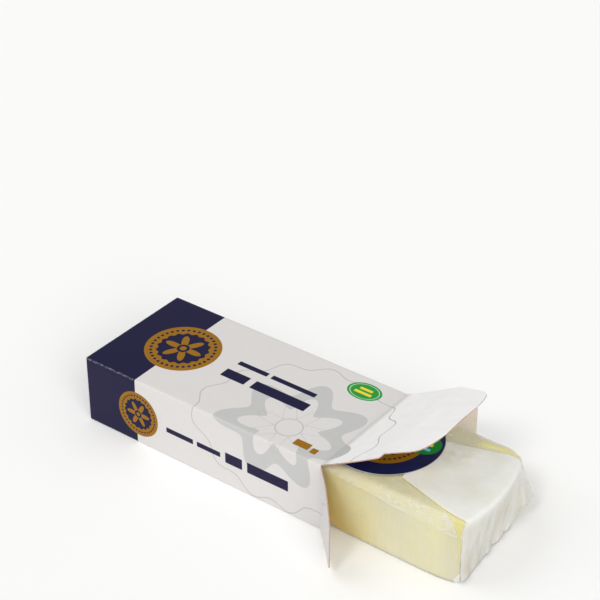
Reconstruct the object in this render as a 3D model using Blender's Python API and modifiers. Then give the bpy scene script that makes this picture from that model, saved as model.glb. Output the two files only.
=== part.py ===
"""A small folding carton of butter, open at one end, with its film-wrapped block slid half out.

The carton lies on its large face. Its length is along X, with the open mouth at +X and the shut end at -X.
Z is up, and the origin is the middle of the carton's underside. Four board panels are hinged on creases:
the closure panel on the top wall, the tuck tongue on the closure panel, and a dust flap on each side wall.
The block lies in the carton with about half of its length outside the mouth, and carries a round label.
"""

import math

import bmesh
import bpy
from mathutils import Vector

MM = 0.001
GAP = 0.3 * MM

# Driving dimensions of the carton, outside to outside.
CARTON_LENGTH = 120.0 * MM
CARTON_WIDTH = 58.4 * MM
CARTON_HEIGHT = 31.0 * MM
BOARD = 0.45 * MM
FOLD_RADIUS = 0.7 * MM
MOUTH_X = CARTON_LENGTH / 2
SIDE_Y = CARTON_WIDTH / 2

# The closure panel of the shut end stands proud of the dust flaps behind it, inside the cut edges.
SHUT_END_MARGIN = 0.5 * MM
SHUT_END_DEPTH = 1.5 * BOARD

# The closure panel and its tuck tongue, measured along the board from each crease.
PANEL_LENGTH = 29.8 * MM
PANEL_HALF_WIDTH = 28.5 * MM
PANEL_END_HALF_WIDTH = 28.1 * MM
PANEL_CORNER_RADIUS = 0.8 * MM
PANEL_LIFT = math.radians(30.3)
TONGUE_LENGTH = 18.6 * MM
TONGUE_NEAR_HALF_WIDTH = 24.9 * MM
TONGUE_FAR_HALF_WIDTH = 27.6 * MM
TONGUE_SIDE_TAPER = 1.2 * MM
TONGUE_NEAR_SHOULDER = 0.62 * TONGUE_LENGTH
TONGUE_NEAR_SHOULDER_RADIUS = 6.0 * MM
TONGUE_NEAR_CORNER_Y = -18.5 * MM
TONGUE_NEAR_CORNER_DROP = 0.9 * MM
TONGUE_NEAR_CORNER_RADIUS = 3.5 * MM
TONGUE_TIP_Y = -3.0 * MM
TONGUE_FAR_CORNER_Y = 19.5 * MM
TONGUE_FAR_CORNER_DROP = 0.8 * MM
TONGUE_FAR_CORNER_RADIUS = 4.0 * MM
TONGUE_FAR_SHOULDER = 0.45 * TONGUE_LENGTH
TONGUE_FAR_SHOULDER_RADIUS = 7.0 * MM
TONGUE_LIFT = math.radians(25.0)
CREASE_GAP = 0.2 * MM

# The dust flaps, which swing about the upright edges of the mouth.
DUST_LENGTH = 28.6 * MM
DUST_SHOULDER = 11.0 * MM
DUST_LOW_AT_CREASE = 0.7 * MM
DUST_HIGH_AT_CREASE = 30.2 * MM
DUST_LOW_AT_END = 4.0 * MM
DUST_HIGH_AT_END = 25.2 * MM
DUST_CORNER_RADIUS = 3.0 * MM
DUST_SHOULDER_RADIUS = 2.0 * MM
NEAR_DUST_SWING = math.radians(47.3)
FAR_DUST_SWING = math.radians(40.0)

# The wrapped block. Its outer half sags off the board onto the surface that the carton lies on.
BLOCK_INNER_X = 5.0 * MM
BLOCK_OUTER_X = 120.0 * MM
BLOCK_HALF_WIDTH = 25.7 * MM
BLOCK_TOP = 29.0 * MM
BLOCK_UNDERSIDE_IN_CARTON = BOARD + GAP
SAG_LENGTH = 7.0 * MM
FAR_EDGE_DROP = 0.8 * MM

# The near top edge, worn round by handling: its drop grows by a power from the mouth to the outer end.
WORN_EDGE_WIDTH = 3.4 * MM
WORN_EDGE_DROP_AT_MOUTH = 2.0 * MM
WORN_EDGE_DROP_AT_END = 6.6 * MM
WORN_EDGE_GROWTH = 1.2
WORN_EDGE_TOP_SHARE = 0.35
WORN_EDGE_INWARD_SHARE = 0.28

# The lines of the cage that is rounded into the block. Those next to an edge set how sharp it stays.
EDGE_LOOP = 1.7 * MM
FOOT_LOOP = 0.9 * MM
CAGE_X_IN_CARTON = (24.0 * MM, 42.0 * MM)
CAGE_X_OUTSIDE = (80.0 * MM, 93.0 * MM, 105.0 * MM, 113.0 * MM)
CAGE_Y = 12.0 * MM
CAGE_Z_ABOVE_EAR = 17.5 * MM

# The outer end of the block: its top fold bulges, its foot runs back, and its far corner is pinched to an ear.
END_BLEND = 22.0 * MM
NEAR_CORNER_BLEND = 12.0 * MM
FAR_CORNER_BLEND = 8.0 * MM
END_BULGE_Y = -4.4 * MM
END_BULGE_REACH = 122.7 * MM
END_NEAR_REACH = 120.4 * MM
END_FAR_REACH = 116.8 * MM
END_NEAR_SPAN = 18.7 * MM
END_FAR_SPAN = 26.6 * MM
FOOT_REACH = 118.0 * MM
FOOT_SLANT = 0.075
NEAR_CORNER_INSET = 2.0 * MM
FAR_CORNER_INSET_TOP = 2.4 * MM
FAR_CORNER_INSET_FOOT = 6.0 * MM
EAR_HEIGHT = 10.0 * MM
EAR_START_Y = 10.0 * MM
EAR_REACH = 5.5 * MM
EAR_OUT = 2.6 * MM

# The folded film that lies over each end and onto the top, as relief.
FILM_RELIEF = 0.3 * MM
FILM_ROOT = 0.5 * MM
FILM_ROOT_AT_END = 1.2 * MM
FILM_FOOT = 1.5 * MM
FILM_STEP_AT_FOLD = 0.2 * MM
TAB_LENGTH = 33.0 * MM
TAB_NEAR_AT_FOLD = 23.6 * MM
TAB_NEAR_AT_TIP = 14.5 * MM
TAB_FAR_AT_FOLD = 22.6 * MM
TAB_FAR_AT_TIP = 17.3 * MM

# The round label that holds the folds down.
LABEL_RADIUS = 23.4 * MM
LABEL_THICKNESS = 0.2 * MM
LABEL_X = 68.5 * MM
LABEL_Y = 1.6 * MM


def clear_scene():
    for old in list(bpy.data.objects):
        bpy.data.objects.remove(old, do_unlink=True)


def new_collection(name):
    group = bpy.data.collections.new(name)
    bpy.context.scene.collection.children.link(group)
    return group


def principled(name, colour, roughness):
    material = bpy.data.materials.new(name)
    material.use_nodes = True
    shader = material.node_tree.nodes["Principled BSDF"]
    shader.inputs["Base Color"].default_value = (*colour, 1.0)
    shader.inputs["Roughness"].default_value = roughness
    shader.inputs["Metallic"].default_value = 0.0
    return material


def object_from_bmesh(name, shape, group, material):
    bmesh.ops.recalc_face_normals(shape, faces=shape.faces)
    mesh = bpy.data.meshes.new(name)
    shape.to_mesh(mesh)
    shape.free()
    mesh.materials.append(material)
    piece = bpy.data.objects.new(name, mesh)
    group.objects.link(piece)
    return piece


def box(low, high):
    """A closed box between two corners, as a bmesh."""
    shape = bmesh.new()
    bmesh.ops.create_cube(shape, size=1.0)
    low, high = Vector(low), Vector(high)
    for vertex in shape.verts:
        vertex.co = Vector(
            low[k] + (vertex.co[k] + 0.5) * (high[k] - low[k]) for k in range(3)
        )
    return shape


def apply_modifiers(piece):
    """Puts the evaluated mesh in place of the piece's own, with no modifiers left."""
    graph = bpy.context.evaluated_depsgraph_get()
    mesh = bpy.data.meshes.new_from_object(piece.evaluated_get(graph))
    piece.modifiers.clear()
    piece.data = mesh


def join(piece, others):
    """Fuses other closed pieces onto a piece and removes them."""
    for other in others:
        union = piece.modifiers.new("fuse " + other.name, "BOOLEAN")
        union.operation = "UNION"
        union.solver = "EXACT"
        union.object = other
    apply_modifiers(piece)
    for other in others:
        bpy.data.objects.remove(other, do_unlink=True)


def blend(start, end, value):
    """0 before start, 1 after end, and smooth between them."""
    share = min(max((value - start) / (end - start), 0.0), 1.0)
    return share * share * (3 - 2 * share)


def rounded_outline(corners, steps=5):
    """The points of a closed outline, given as corners (x, y, radius) in order, each rounded by an arc."""
    points = []
    for index, (x, y, radius) in enumerate(corners):
        corner = Vector((x, y))
        before = Vector(corners[index - 1][:2]) - corner
        after = Vector(corners[(index + 1) % len(corners)][:2]) - corner
        if radius == 0:
            points.append(corner)
            continue
        half_angle = before.angle(after) / 2
        reach = radius / math.tan(half_angle)
        start = corner + before.normalized() * reach
        end = corner + after.normalized() * reach
        middle = (before.normalized() + after.normalized()).normalized()
        centre = corner + middle * radius / math.sin(half_angle)
        for step in range(steps + 1):
            arm = (start - centre).lerp(end - centre, step / steps).normalized()
            points.append(centre + arm * radius)
    return points


def hinge_line(name, place, group):
    """An empty on a crease, whose children turn with it."""
    crease = bpy.data.objects.new(name, None)
    crease.empty_display_size = 8 * MM
    crease.location = place
    group.objects.link(crease)
    return crease


def board_panel(name, corners, crease, group, material):
    """A flat panel of board under the XY plane of its crease, cut to an outline with rounded corners."""
    curve = bpy.data.curves.new(name, "CURVE")
    curve.dimensions = "2D"
    curve.fill_mode = "BOTH"
    curve.extrude = BOARD / 2
    curve.materials.append(material)
    points = rounded_outline(corners)
    spline = curve.splines.new("POLY")
    spline.points.add(len(points) - 1)
    for point, place in zip(spline.points, points):
        point.co = (place.x, place.y, 0, 1)
    spline.use_cyclic_u = True
    panel = bpy.data.objects.new(name, curve)
    panel.location = (0, 0, -BOARD / 2)
    panel.parent = crease
    group.objects.link(panel)
    return panel


def make_carton(group, material):
    """The sleeve with its shut end: an open box of board, with the shut end's outer panel standing proud."""
    shape = box((-MOUTH_X + BOARD, -SIDE_Y, 0), (MOUTH_X, SIDE_Y, CARTON_HEIGHT))
    mouth = [face for face in shape.faces if face.normal.x > 0.9]
    bmesh.ops.delete(shape, geom=mouth, context="FACES")
    folds = [
        edge
        for edge in shape.edges
        if abs((edge.verts[0].co - edge.verts[1].co).x) > CARTON_LENGTH / 2
    ]
    bmesh.ops.bevel(
        shape,
        geom=folds,
        offset=FOLD_RADIUS,
        segments=3,
        profile=0.5,
        affect="EDGES",
        clamp_overlap=True,
    )
    carton = object_from_bmesh("carton", shape, group, material)
    walls = carton.modifiers.new("board", "SOLIDIFY")
    walls.thickness = BOARD
    walls.offset = -1
    walls.use_even_offset = True
    apply_modifiers(carton)

    end_panel = object_from_bmesh(
        "shut end panel",
        box(
            (-MOUTH_X, -SIDE_Y + SHUT_END_MARGIN, SHUT_END_MARGIN),
            (
                -MOUTH_X + SHUT_END_DEPTH,
                SIDE_Y - SHUT_END_MARGIN,
                CARTON_HEIGHT - FOLD_RADIUS,
            ),
        ),
        group,
        material,
    )
    join(carton, [end_panel])
    return carton


def make_closure(group, material):
    """The closure panel, raised off the block, and the tuck tongue on its far crease."""
    crease = hinge_line("closure_crease", (MOUTH_X, 0, CARTON_HEIGHT), group)
    crease.rotation_euler = (0, -PANEL_LIFT, 0)
    board_panel(
        "closure_panel",
        [
            (GAP, -PANEL_HALF_WIDTH, 0),
            (PANEL_LENGTH - CREASE_GAP, -PANEL_END_HALF_WIDTH, PANEL_CORNER_RADIUS),
            (PANEL_LENGTH - CREASE_GAP, PANEL_END_HALF_WIDTH, PANEL_CORNER_RADIUS),
            (GAP, PANEL_HALF_WIDTH, 0),
        ],
        crease,
        group,
        material,
    )

    tip = Vector((math.cos(PANEL_LIFT), 0, math.sin(PANEL_LIFT))) * PANEL_LENGTH
    place = Vector((MOUTH_X, 0, CARTON_HEIGHT)) + tip
    tongue_crease = hinge_line("tongue_crease", place, group)
    tongue_crease.rotation_euler = (0, -TONGUE_LIFT, 0)
    board_panel(
        "tuck_tongue",
        [
            (CREASE_GAP, -TONGUE_NEAR_HALF_WIDTH, 0),
            (
                TONGUE_NEAR_SHOULDER,
                -TONGUE_NEAR_HALF_WIDTH + TONGUE_SIDE_TAPER,
                TONGUE_NEAR_SHOULDER_RADIUS,
            ),
            (
                TONGUE_LENGTH - TONGUE_NEAR_CORNER_DROP,
                TONGUE_NEAR_CORNER_Y,
                TONGUE_NEAR_CORNER_RADIUS,
            ),
            (TONGUE_LENGTH, TONGUE_TIP_Y, 0),
            (
                TONGUE_LENGTH - TONGUE_FAR_CORNER_DROP,
                TONGUE_FAR_CORNER_Y,
                TONGUE_FAR_CORNER_RADIUS,
            ),
            (
                TONGUE_FAR_SHOULDER,
                TONGUE_FAR_HALF_WIDTH - TONGUE_SIDE_TAPER,
                TONGUE_FAR_SHOULDER_RADIUS,
            ),
            (CREASE_GAP, TONGUE_FAR_HALF_WIDTH, 0),
        ],
        tongue_crease,
        group,
        material,
    )


def make_dust_flap(name, side, swing, group, material):
    """A dust flap on the near (side -1) or far (side +1) edge of the mouth, swung outwards."""
    crease = hinge_line(name + "_crease", (MOUTH_X, side * SIDE_Y, 0), group)
    # The crease's own Z points out of the carton's side, and its own X along the flap.
    crease.rotation_euler = (-side * math.pi / 2, 0, side * swing)
    board_panel(
        name,
        [
            (GAP, -side * DUST_LOW_AT_CREASE, 0),
            (DUST_SHOULDER, -side * DUST_LOW_AT_CREASE, DUST_SHOULDER_RADIUS),
            (DUST_LENGTH, -side * DUST_LOW_AT_END, DUST_CORNER_RADIUS),
            (DUST_LENGTH, -side * DUST_HIGH_AT_END, DUST_CORNER_RADIUS),
            (DUST_SHOULDER, -side * DUST_HIGH_AT_CREASE, DUST_SHOULDER_RADIUS),
            (GAP, -side * DUST_HIGH_AT_CREASE, 0),
        ],
        crease,
        group,
        material,
    )


def ear_share(z):
    """1 at the ear's height, falling straight to 0 at the foot and at the top of the block."""
    if z < EAR_HEIGHT:
        return max(z, 0.0) / EAR_HEIGHT
    return max(BLOCK_TOP - z, 0.0) / (BLOCK_TOP - EAR_HEIGHT)


def end_reach(y, height_share, z):
    """How far along X the block's outer end comes, at this place across it and this share of its height."""
    if y < END_BULGE_Y:
        bow = (END_BULGE_REACH - END_NEAR_REACH) * ((y - END_BULGE_Y) / END_NEAR_SPAN) ** 2
    else:
        bow = (END_BULGE_REACH - END_FAR_REACH) * ((y - END_BULGE_Y) / END_FAR_SPAN) ** 2
    at_top = END_BULGE_REACH - bow
    at_foot = FOOT_REACH - FOOT_SLANT * y
    ear = EAR_REACH * ear_share(z) * blend(EAR_START_Y, BLOCK_HALF_WIDTH, y)
    return at_foot + (at_top - at_foot) * height_share + ear


def wrapped_form(point):
    """Moves a point of the straight block to where the wrapped and handled block has it."""
    x, y, z = point
    share = min(max(z / BLOCK_TOP, 0.0), 1.0)
    if y < 0:
        rounding = max((x - BLOCK_OUTER_X) / NEAR_CORNER_BLEND + 1, 0.0) ** 2
        moved_y = y * (1 - rounding * NEAR_CORNER_INSET / BLOCK_HALF_WIDTH)
    else:
        rounding = max((x - BLOCK_OUTER_X) / FAR_CORNER_BLEND + 1, 0.0) ** 2
        ear = ear_share(z)
        inset = FAR_CORNER_INSET_FOOT + (FAR_CORNER_INSET_TOP - FAR_CORNER_INSET_FOOT) * share
        inset = inset * (1 - ear) - EAR_OUT * ear
        moved_y = y * (1 - rounding * inset / BLOCK_HALF_WIDTH)

    stretch = blend(BLOCK_OUTER_X - END_BLEND, BLOCK_OUTER_X, x)
    moved_x = x + stretch * (end_reach(moved_y, share, z) - BLOCK_OUTER_X)

    # The underside is on the board inside the carton, and on the surface below it outside.
    sag_start = MOUTH_X + GAP
    sag = 1 - blend(sag_start, sag_start + SAG_LENGTH, x)
    moved_z = z + (1 - share) * sag * BLOCK_UNDERSIDE_IN_CARTON
    return Vector((moved_x, moved_y, moved_z))


def worn_edge_drop(x):
    """The height of the rounded near top edge, which grows from the mouth to the outer end."""
    share = min(max((x - MOUTH_X) / (BLOCK_OUTER_X - MOUTH_X), 0.0), 1.0)
    growth = WORN_EDGE_DROP_AT_END - WORN_EDGE_DROP_AT_MOUTH
    return WORN_EDGE_DROP_AT_MOUTH + growth * share**WORN_EDGE_GROWTH


def gridded_box(lines_x, lines_y, lines_z):
    """A closed box cut by planes at these places along each axis, the first and last being its faces."""
    shape = box(*((lines_x[k], lines_y[k], lines_z[k]) for k in (0, -1)))
    for axis, lines in enumerate((lines_x, lines_y, lines_z)):
        across = Vector(1.0 if k == axis else 0.0 for k in range(3))
        for line in lines[1:-1]:
            bmesh.ops.bisect_plane(
                shape,
                geom=shape.verts[:] + shape.edges[:] + shape.faces[:],
                plane_co=across * line,
                plane_no=across,
            )
    return shape


def evenly(low, high, cells):
    return [low + (high - low) * k / cells for k in range(cells + 1)]


def block_body(group, material):
    """The block as a coarse cage, rounded by subdivision, whose loops lie close to its edges."""
    lines_x = [BLOCK_INNER_X, BLOCK_INNER_X + EDGE_LOOP, *CAGE_X_IN_CARTON, MOUTH_X + GAP]
    lines_x += [MOUTH_X + GAP + SAG_LENGTH, *CAGE_X_OUTSIDE]
    lines_x += [BLOCK_OUTER_X - EDGE_LOOP, BLOCK_OUTER_X]
    lines_y = [-BLOCK_HALF_WIDTH, -BLOCK_HALF_WIDTH + WORN_EDGE_WIDTH, -CAGE_Y, 0]
    lines_y += [CAGE_Y, BLOCK_HALF_WIDTH - EDGE_LOOP, BLOCK_HALF_WIDTH]
    lines_z = [0, FOOT_LOOP, EAR_HEIGHT, CAGE_Z_ABOVE_EAR, BLOCK_TOP - EDGE_LOOP, BLOCK_TOP]
    shape = gridded_box(lines_x, lines_y, lines_z)
    near = 0.1 * MM
    for vertex in shape.verts:
        place = vertex.co.copy()
        on_near_side = place.y < lines_y[0] + near
        on_top = place.z > BLOCK_TOP - near
        just_under_top = abs(place.z - lines_z[-2]) < near
        if on_near_side and (on_top or just_under_top):
            drop = worn_edge_drop(place.x)
            place.z = BLOCK_TOP - (WORN_EDGE_TOP_SHARE * drop if on_top else drop)
            place.y += WORN_EDGE_INWARD_SHARE * WORN_EDGE_WIDTH if on_top else 0
        elif on_top and place.y > lines_y[-1] - near:
            place.z -= FAR_EDGE_DROP
        vertex.co = wrapped_form(place)
    body = object_from_bmesh("wrapped_butter_block", shape, group, material)
    smooth = body.modifiers.new("rounding", "SUBSURF")
    smooth.levels = smooth.render_levels = 1
    apply_modifiers(body)
    return body


def film_tab(name, outer, group, material):
    """The film folded over an end: a sheet up the end face, and a trapezoid that lies on the top."""
    across = evenly(-1.0, 1.0, 8)
    grids = {
        "top": (
            evenly(-TAB_LENGTH, -2 * FILM_STEP_AT_FOLD, 8),
            across,
            (BLOCK_TOP - FILM_ROOT, BLOCK_TOP + FILM_RELIEF),
        ),
        "end": (
            (-FILM_ROOT_AT_END, FILM_RELIEF),
            across,
            evenly(FILM_FOOT, BLOCK_TOP - FILM_STEP_AT_FOLD, 6),
        ),
    }
    sheets = []
    for part, lines in grids.items():
        shape = gridded_box(*lines)
        for vertex in shape.verts:
            x, side, z = vertex.co
            share = min(-x / TAB_LENGTH, 1.0) if part == "top" else 0.0
            near = TAB_NEAR_AT_FOLD + (TAB_NEAR_AT_TIP - TAB_NEAR_AT_FOLD) * share
            far = TAB_FAR_AT_FOLD + (TAB_FAR_AT_TIP - TAB_FAR_AT_FOLD) * share
            y = side * (near if side < 0 else far)
            if outer:
                vertex.co = wrapped_form((BLOCK_OUTER_X + x, y, z))
            else:
                vertex.co = Vector((BLOCK_INNER_X - x, y, z))
        sheets.append(object_from_bmesh(f"{name} {part}", shape, group, material))
    return sheets


def make_block(group, material):
    block = block_body(group, material)
    sheets = film_tab("outer tab", True, group, material)
    sheets += film_tab("inner tab", False, group, material)
    join(block, sheets)
    block.data.shade_smooth()
    block.data.set_sharp_from_angle(angle=math.radians(35))
    return block


def make_label(group, material):
    """The round label, which lies over the tips of both tabs."""
    low = BLOCK_TOP + FILM_RELIEF + GAP
    bpy.ops.mesh.primitive_cylinder_add(
        vertices=64,
        radius=LABEL_RADIUS,
        depth=LABEL_THICKNESS,
        location=(LABEL_X, LABEL_Y, low + LABEL_THICKNESS / 2),
    )
    label = bpy.context.object
    label.name = "round_label"
    label.data.materials.append(material)
    for owner in list(label.users_collection):
        owner.objects.unlink(label)
    group.objects.link(label)
    return label


clear_scene()
parts = new_collection("open butter carton")
printed_board = principled("printed board", (0.76, 0.75, 0.73), 0.5)
wrapping = principled("wrapped butter", (0.72, 0.70, 0.45), 0.4)
label_paper = principled("label paper", (0.02, 0.03, 0.13), 0.35)

make_carton(parts, printed_board)
make_closure(parts, printed_board)
make_dust_flap("near_dust_flap", -1, NEAR_DUST_SWING, parts, printed_board)
make_dust_flap("far_dust_flap", 1, FAR_DUST_SWING, parts, printed_board)
make_block(parts, wrapping)
make_label(parts, label_paper)
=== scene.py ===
"""The looks of a small butter carton, open at one end, with its film-wrapped block slid half out."""

import math

import bpy
import numpy as np
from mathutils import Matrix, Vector, noise


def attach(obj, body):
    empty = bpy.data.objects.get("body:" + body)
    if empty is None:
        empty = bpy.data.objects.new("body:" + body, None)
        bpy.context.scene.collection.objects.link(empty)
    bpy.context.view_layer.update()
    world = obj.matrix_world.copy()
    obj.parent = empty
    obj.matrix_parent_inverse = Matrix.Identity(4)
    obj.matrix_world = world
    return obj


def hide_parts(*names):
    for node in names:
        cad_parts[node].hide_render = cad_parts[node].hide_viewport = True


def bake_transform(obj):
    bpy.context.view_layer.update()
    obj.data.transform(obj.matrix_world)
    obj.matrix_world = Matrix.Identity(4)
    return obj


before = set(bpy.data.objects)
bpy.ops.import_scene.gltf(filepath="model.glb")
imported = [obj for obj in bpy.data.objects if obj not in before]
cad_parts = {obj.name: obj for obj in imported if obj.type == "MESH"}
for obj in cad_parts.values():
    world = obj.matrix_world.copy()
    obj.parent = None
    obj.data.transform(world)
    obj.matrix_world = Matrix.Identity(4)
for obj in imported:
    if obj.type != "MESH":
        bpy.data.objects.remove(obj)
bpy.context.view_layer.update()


# The studio: the pack lies on a pale sweep of paper, under three wide soft lights and a white room.
# The camera stands where the photographer's stood, above the near side and past the open mouth.
MM = 0.001
AIM = Vector((-45.19, 97.84, 0.0)) * MM
CAMERA_DISTANCE = 821.6 * MM
CAMERA_TURN = math.radians(36.94)
CAMERA_HEIGHT_ANGLE = math.radians(32.47)
FOCAL_LENGTH_IN_PIXELS = 1771.2
PICTURE_WIDTH_IN_PIXELS = 600
ROOM_BRIGHTNESS = 0.50
FLOOR_REACH = 4.0
FLOOR_DROP = 0.02 * MM


def in_scene(name, data):
    """Puts a mesh, a light or the camera into the scene."""
    thing = bpy.data.objects.new(name, data)
    bpy.context.scene.collection.objects.link(thing)
    return thing


camera_data = bpy.data.cameras.new("camera")
camera_data.sensor_width = 36.0
camera_data.lens = FOCAL_LENGTH_IN_PIXELS / PICTURE_WIDTH_IN_PIXELS * camera_data.sensor_width
camera_data.clip_start = 0.05
camera_data.clip_end = 20.0
camera = in_scene("camera", camera_data)
looking = Vector((
    -math.sin(CAMERA_TURN) * math.cos(CAMERA_HEIGHT_ANGLE),
    math.cos(CAMERA_TURN) * math.cos(CAMERA_HEIGHT_ANGLE),
    -math.sin(CAMERA_HEIGHT_ANGLE),
))
camera.location = AIM - looking * CAMERA_DISTANCE
camera.rotation_euler = looking.to_track_quat("-Z", "Y").to_euler()
bpy.context.scene.camera = camera
bpy.context.scene.view_settings.view_transform = "Standard"


def soft_light(name, travel, spread, strength):
    """A wide, even light from far off, which shines along a direction and spreads over an angle."""
    data = bpy.data.lights.new(name, "SUN")
    data.angle = math.radians(spread)
    data.energy = strength
    light = in_scene(name, data)
    light.rotation_euler = Vector(travel).to_track_quat("-Z", "Y").to_euler()


soft_light("from the front", (-0.10, 0.70, -0.72), 14.0, 0.70)
soft_light("from the left above", (0.55, 0.20, -0.80), 40.0, 0.62)
soft_light("from beside the camera", (-0.68, 0.48, -0.50), 36.0, 1.15)

world = bpy.data.worlds.new("white room")
world.use_nodes = True
background = world.node_tree.nodes["Background"]
background.inputs["Color"].default_value = (1.0, 1.0, 1.0, 1.0)
background.inputs["Strength"].default_value = ROOM_BRIGHTNESS
bpy.context.scene.world = world


def colour(red, green, blue):
    """A colour as a painter reads it off the screen, 0 to 255, turned into the renderer's scale."""
    steps = [value / 255 for value in (red, green, blue)]
    return [s / 12.92 if s <= 0.04045 else ((s + 0.055) / 1.055) ** 2.4 for s in steps]


def principled(name):
    """A new material, and its shader."""
    material = bpy.data.materials.new(name)
    material.use_nodes = True
    return material, material.node_tree.nodes["Principled BSDF"]


floor_mesh = bpy.data.meshes.new("paper_sweep")
floor_corners = [(x * FLOOR_REACH, y * FLOOR_REACH, 0.0) for x, y in ((-1, -1), (1, -1), (1, 1), (-1, 1))]
floor_mesh.from_pydata(floor_corners, [], [(0, 1, 2, 3)])
floor = in_scene("paper_sweep", floor_mesh)
floor.location.z = -FLOOR_DROP
paper, shader = principled("sweep paper")
shader.inputs["Base Color"].default_value = (*colour(250, 250, 249), 1.0)
shader.inputs["Roughness"].default_value = 0.9
floor_mesh.materials.append(paper)


# The carton's sleeve: one blank of thin folding board, white and coated outside, grey-cream inside, creased
# four times round the block and glued to itself inside the far wall. Cut edges show the brown core.
LENGTH = 120.0
WIDTH = 58.4
HEIGHT = 31.0
CARTON_BODY = "carton_and_block"
BOARD = 0.45
FOLD = 0.7
MOUTH_X = LENGTH / 2
SIDE_Y = WIDTH / 2
GLUE_FLAP = 13.0
GLUE_LINE = 0.03
WALL_BOW = 0.16


def feed(socket, value):
    """Links another socket to this one, or sets it to a plain value."""
    if isinstance(value, bpy.types.NodeSocket):
        socket.id_data.links.new(value, socket)
    else:
        socket.default_value = value


def feed_all(node, **values):
    """Feeds a node's inputs by their names, with _ for each space."""
    for name, value in values.items():
        feed(node.inputs[name.replace("_", " ")], value)


def node_beside(kind, *values):
    """A new node in the tree that the first socket among the values belongs to."""
    tree = next(value.id_data for value in values if isinstance(value, bpy.types.NodeSocket))
    return tree.nodes.new(kind)


def work_out(operation, *values, clamp=False):
    """One Math node: the values may be numbers or sockets."""
    node = node_beside("ShaderNodeMath", *values)
    node.operation = operation
    node.use_clamp = clamp
    for socket, value in zip(node.inputs, values):
        feed(socket, value)
    return node.outputs[0]


def minus(value, less):
    return work_out("SUBTRACT", value, less)


def opposite(mask):
    return minus(1.0, mask)


def away_from(value, place):
    """How far the value is from a place, to either side of it."""
    return work_out("ABSOLUTE", minus(value, place))


def scaled(value, factor, start):
    """The value times a factor, counted from a start."""
    return work_out("MULTIPLY_ADD", value, factor, start)


def hypotenuse(one, other):
    squares = [work_out("POWER", value, 2.0) for value in (one, other)]
    return work_out("SQRT", work_out("ADD", *squares))


def times(first, *others):
    for other in others:
        first = work_out("MULTIPLY", first, other)
    return first


def strongest(first, *others):
    for other in others:
        first = work_out("MAXIMUM", first, other)
    return first


def lay_over(under, over, mask):
    """Mixes one colour over another where the mask is 1."""
    node = node_beside("ShaderNodeMix", mask, under, over)
    node.data_type = "RGBA"
    for socket, value in ((node.inputs[0], mask), (node.inputs[6], under), (node.inputs[7], over)):
        feed(socket, (*value, 1.0) if isinstance(value, list) else value)
    return node.outputs[2]


def speckle(place, size, detail=2.0, roughness=0.5):
    """Noise about 0.5, with spots of this size in the units of the place given."""
    node = node_beside("ShaderNodeTexNoise", place)
    feed_all(node, Vector=place, Scale=1.0 / size, Detail=detail, Roughness=roughness)
    return node.outputs["Fac"]


def ramp(value, start, end):
    """0 where the value is at or under start, 1 at or over end, straight between them."""
    node = node_beside("ShaderNodeMapRange", value)
    node.clamp = True
    feed_all(node, Value=value, From_Min=start, From_Max=end)
    return node.outputs["Result"]


def between(value, low, high, soft):
    """1 where the value is between low and high, fading to 0 over a soft margin outside them."""
    rising = ramp(minus(value, low), -soft, 0.0)
    falling = ramp(minus(value, high), 0.0, soft)
    return times(rising, opposite(falling))


def stretched(place, x, y, z):
    """A place whose noise is drawn out along the axes with the smaller factors."""
    node = node_beside("ShaderNodeVectorMath", place)
    node.operation = "MULTIPLY"
    feed(node.inputs[0], place)
    feed(node.inputs[1], (x, y, z))
    return node.outputs[0]


def axes(place):
    """The place as three numbers."""
    node = node_beside("ShaderNodeSeparateXYZ", place)
    feed(node.inputs[0], place)
    return node.outputs["X"], node.outputs["Y"], node.outputs["Z"]


def new_group(name, inputs, outputs):
    """An empty shader node group, with its input and output nodes and the sockets named."""
    group = bpy.data.node_groups.new(name, "ShaderNodeTree")
    for socket_name, kind in inputs:
        group.interface.new_socket(socket_name, in_out="INPUT", socket_type=kind)
    for socket_name, kind in outputs:
        group.interface.new_socket(socket_name, in_out="OUTPUT", socket_type=kind)
    return group, group.nodes.new("NodeGroupInput"), group.nodes.new("NodeGroupOutput")


def place_group(group, **values):
    node = node_beside("ShaderNodeGroup", *values.values())
    node.node_tree = group
    feed_all(node, **values)
    return node


# Board grain: the fine tooth of paper fibre, and the long shallow waves of a thin sheet.
grain_group, grain_in, grain_out = new_group(
    "board grain",
    [("Place", "NodeSocketVector"), ("Tooth", "NodeSocketFloat"), ("Wave", "NodeSocketFloat")],
    [("Height", "NodeSocketFloat"), ("Mottle", "NodeSocketFloat")],
)
fibre_place = grain_in.outputs["Place"]
tooth = times(speckle(fibre_place, 0.35, 4.0, 0.6), grain_in.outputs["Tooth"])
wave = times(speckle(fibre_place, 16.0, 1.0), grain_in.outputs["Wave"])
feed_all(grain_out, Height=work_out("ADD", tooth, wave), Mottle=speckle(fibre_place, 5.0, 3.0))


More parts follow.
